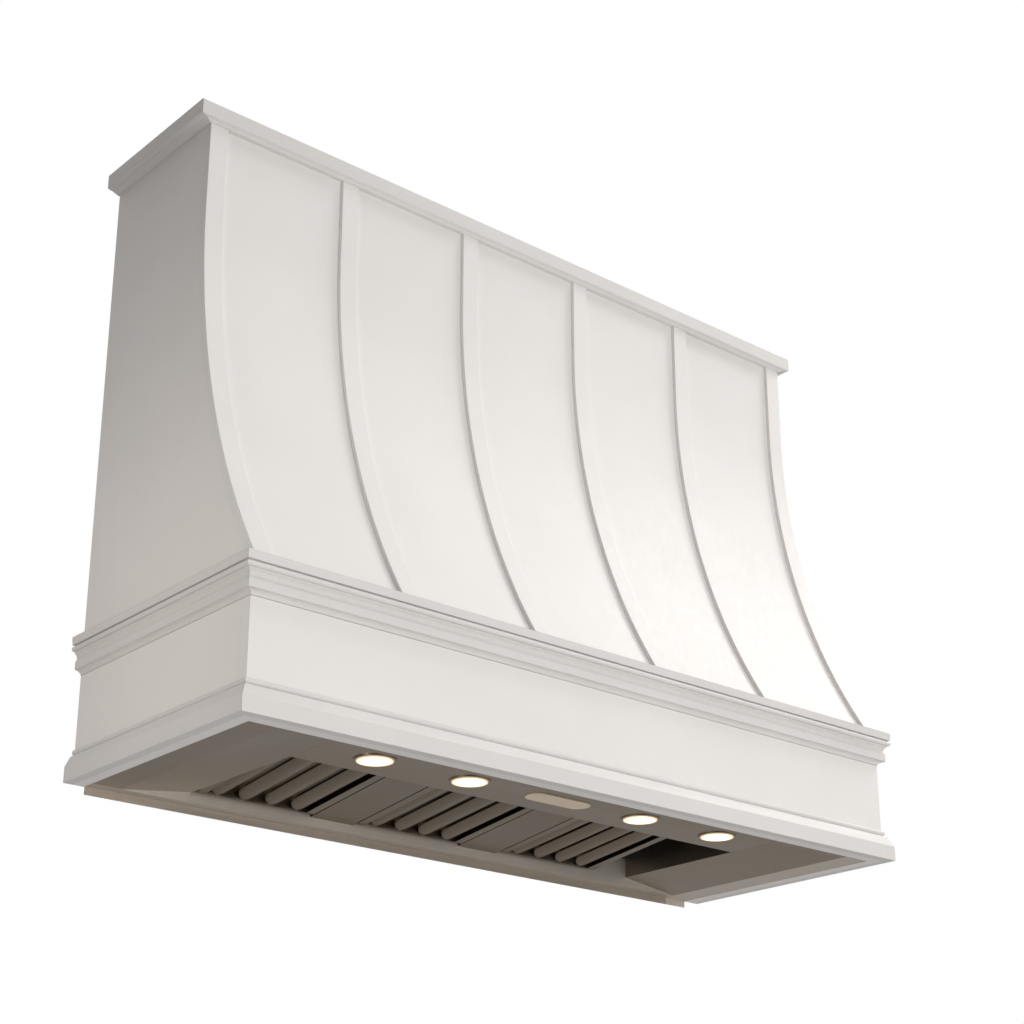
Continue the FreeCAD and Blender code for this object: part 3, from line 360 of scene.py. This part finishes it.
def finish_of(name, slot):
    """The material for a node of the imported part."""
    # Mouldings get the darker copy of the paint, which is painted shade.
    if name.startswith(MOULDINGS):
        return trim_painted_shade[longest(name)]
    if slot == "painted_wood":
        return paint[Z if name.startswith(UPRIGHTS) else longest(name)]
    if slot == "carcass_wood":
        return timber[longest(name)]
    if name == "liner_frame":
        return liner_steel
    if name.startswith("filter_baffles"):
        return filter_steel[Y]
    if name.startswith(("filter_frame", "blank_panels", "end_filler")):
        return filter_steel[X]
    return plain[slot]


for name, item in nodes.items():
    item.data.materials.clear()
    item.data.materials.append(finish_of(name, slots[name]))


# --------------------------------------------------------------------------
# Small hardware that the solids leave out
# --------------------------------------------------------------------------
# Radius and height of each ring of a pan-head screw, from its seat up and into its cross.
HEAD = [(0.0034, 0.0), (0.0036, 0.0003), (0.0036, 0.0007), (0.0030, 0.0013), (0.0016, 0.0017)]
CROSS = [(0.0012, 0.0017), (0.0007, 0.0009)]
CROSS_ARM, CROSS_HUB = 1.6, 0.75      # of the ring's radius
HEAD_SIDES = 20
TURN_BETWEEN = 0.7                    # radians from one screw's cross to the next one's


def head_ring(mesh, stand, radius, height, crossed):
    """One ring of a screw head; a crossed ring has four arms."""
    ring = []
    for step in range(HEAD_SIDES):
        angle = 2 * math.pi * step / HEAD_SIDES
        away = radius
        if crossed:
            away *= CROSS_HUB if step % (HEAD_SIDES // 4) else CROSS_ARM
        ring.append(mesh.verts.new(stand @ Vector(
            (away * math.cos(angle), away * math.sin(angle), height))))
    return ring


def screws(name, places, out):
    """Pan-head screws, each turned a little differently, standing on a face that looks out."""
    mesh = bmesh.new()
    upright = Vector((0.0, 0.0, 1.0)).rotation_difference(Vector(out)).to_matrix().to_4x4()
    for number, place in enumerate(places):
        turn = Matrix.Rotation(TURN_BETWEEN * number, 4, "Z")
        stand = Matrix.Translation(place) @ upright @ turn
        rings = [head_ring(mesh, stand, *size, crossed=False) for size in HEAD]
        rings += [head_ring(mesh, stand, *size, crossed=True) for size in CROSS]
        for lower, upper in zip(rings, rings[1:]):
            for step in range(HEAD_SIDES):
                after = (step + 1) % HEAD_SIDES
                mesh.faces.new((lower[step], lower[after], upper[after], upper[step]))
        mesh.faces.new(rings[-1])
        mesh.faces.new(list(reversed(rings[0])))
    return piece_from(mesh, name, "screw_steel")


def piece_from(mesh, name, slot):
    """A finished mesh as a piece that rides on the cover."""
    mesh.normal_update()
    data = bpy.data.meshes.new(name)
    mesh.to_mesh(data)
    mesh.free()
    data.materials.append(plain[slot])
    item = bpy.data.objects.new(name, data)
    bpy.context.scene.collection.objects.link(item)
    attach(item, "cover")
    return item


COLLAR_FLANGE = Vector((0.0, -0.134, 0.2512))    # middle of its top face
COLLAR_STEP = 0.1098
screws("collar_screws", [COLLAR_FLANGE + Vector((side * COLLAR_STEP, row * COLLAR_STEP, 0.0))
                         for side in (-1, 0, 1) for row in (-1, 1)], (0.0, 0.0, 1.0))
MOTOR_PLATE = Vector((0.068, -0.174, 0.1595))    # middle of its outer face
MOTOR_STEP = 0.0385
screws("motor_screws", [MOTOR_PLATE + Vector((0.0, side * MOTOR_STEP, row * MOTOR_STEP))
                        for side in (-1, 1) for row in (-1, 1)], (1.0, 0.0, 0.0))

# --------------------------------------------------------------------------
# Floor: lit from above, see-through to a camera that stands lower
# --------------------------------------------------------------------------
FLOOR_LEVEL = -1.7
FLOOR_REACH = 30.0

floor_mesh = bpy.data.meshes.new("floor")
floor_mesh.from_pydata(
    [(side * FLOOR_REACH, row * FLOOR_REACH, FLOOR_LEVEL)
     for side, row in ((-1, -1), (1, -1), (1, 1), (-1, 1))], [], [(0, 1, 2, 3)])
floor = bpy.data.objects.new("floor", floor_mesh)
bpy.context.scene.collection.objects.link(floor)
ground = Shader("floor")
ground.drive("Base Color", ground.two_tones(
    ground.noise(3.0), (0.60, 0.60, 0.60), (0.62, 0.62, 0.62)))
ground.set(roughness=0.8)
ground.link(ground.mix_shader(
    ground.add("ShaderNodeNewGeometry").outputs["Backfacing"],
    ground.surface.outputs["BSDF"],
    ground.add("ShaderNodeBsdfTransparent").outputs["BSDF"]),
    ground.tree.nodes["Material Output"].inputs["Surface"])
floor_mesh.materials.append(ground.material)

# --------------------------------------------------------------------------
# World: a dim warm sky lights the object, and what is seen behind it is white
# --------------------------------------------------------------------------
SKY_COLOUR = (1.0, 0.97, 0.94, 1.0)
SKY_LEVEL, SKY_RIGHT, SKY_UP = 0.20, 0.10, 0.30     # at the horizon, and more right and up
WHITE = (1.0, 1.0, 1.0, 1.0)

world = bpy.data.worlds.new("studio")
bpy.context.scene.world = world
world.use_nodes = True
world.node_tree.nodes.clear()
air = Nodes(world.node_tree)
rays = air.add("ShaderNodeLightPath")
seen = air.calc("MAXIMUM", rays.outputs["Is Camera Ray"], rays.outputs["Is Glossy Ray"])
clear = air.calc("MAXIMUM", seen, rays.outputs["Is Transmission Ray"])
direction = air.add("ShaderNodeSeparateXYZ")
air.link(air.add("ShaderNodeTexCoord").outputs["Generated"], direction.inputs["Vector"])
level = air.calc("MULTIPLY_ADD", direction.outputs["X"], SKY_RIGHT, SKY_LEVEL)
sky = air.add("ShaderNodeBackground")
sky.inputs["Color"].default_value = SKY_COLOUR
air.link(air.calc("MULTIPLY_ADD", direction.outputs["Z"], SKY_UP, level),
         sky.inputs["Strength"])
backdrop = air.add("ShaderNodeBackground")
backdrop.inputs["Color"].default_value = WHITE
backdrop.inputs["Strength"].default_value = 1.0
air.link(air.mix_shader(clear, sky.outputs["Background"], backdrop.outputs["Background"]),
         air.add("ShaderNodeOutputWorld").inputs["Surface"])


# --------------------------------------------------------------------------
# Lights
# --------------------------------------------------------------------------
def softbox(name, place, aim, width, height, watts, colour, spread=180):
    """A rectangular lamp that is turned to a point; spread is its beam in degrees."""
    light = bpy.data.lights.new(name, "AREA")
    light.shape = "RECTANGLE"
    light.size = width
    light.size_y = height
    light.energy = watts
    light.color = colour
    light.spread = math.radians(spread)
    item = bpy.data.objects.new(name, light)
    item.location = place
    item.rotation_euler = (Vector(aim) - Vector(place)).to_track_quat("-Z", "Y").to_euler()
    item.visible_camera = False
    bpy.context.scene.collection.objects.link(item)


SOFT_WHITE = (1.0, 0.985, 0.965)
softbox("key", (4.7, -1.5, 4.4), (0.0, -0.3, 0.4), 2.6, 2.6, 205.0, SOFT_WHITE)
softbox("front", (0.5, -4.2, -0.3), (0.1, -0.3, 0.1), 2.6, 1.6, 78.0, SOFT_WHITE)
softbox("low_left", (-1.9, -0.6, -0.2), (-0.6, -0.2, 0.2), 0.5, 0.5, 1.0,
        (1.0, 0.93, 0.86), 60)

# --------------------------------------------------------------------------
# Camera: low, in front of the left corner, looking up
# --------------------------------------------------------------------------
IMAGE = 1024                 # pixels each way
FOCAL_PIXELS = 1972.7
CENTRE_ROW = 594             # where the view's axis meets the picture
SENSOR = 36.0                # mm
LOOK_UP = 0.3607
LOOK_RIGHT = 0.7091

camera_data = bpy.data.cameras.new("camera")
camera_data.sensor_width = SENSOR
camera_data.lens = FOCAL_PIXELS / IMAGE * SENSOR
camera_data.shift_y = (CENTRE_ROW - IMAGE / 2) / IMAGE
camera = bpy.data.objects.new("camera", camera_data)
camera.location = (-1.872, -2.407, -0.717)
camera.rotation_euler = (math.pi / 2 + LOOK_UP, 0.0, -LOOK_RIGHT)
bpy.context.scene.collection.objects.link(camera)
bpy.context.scene.camera = camera
bpy.context.scene.view_settings.view_transform = "Standard"
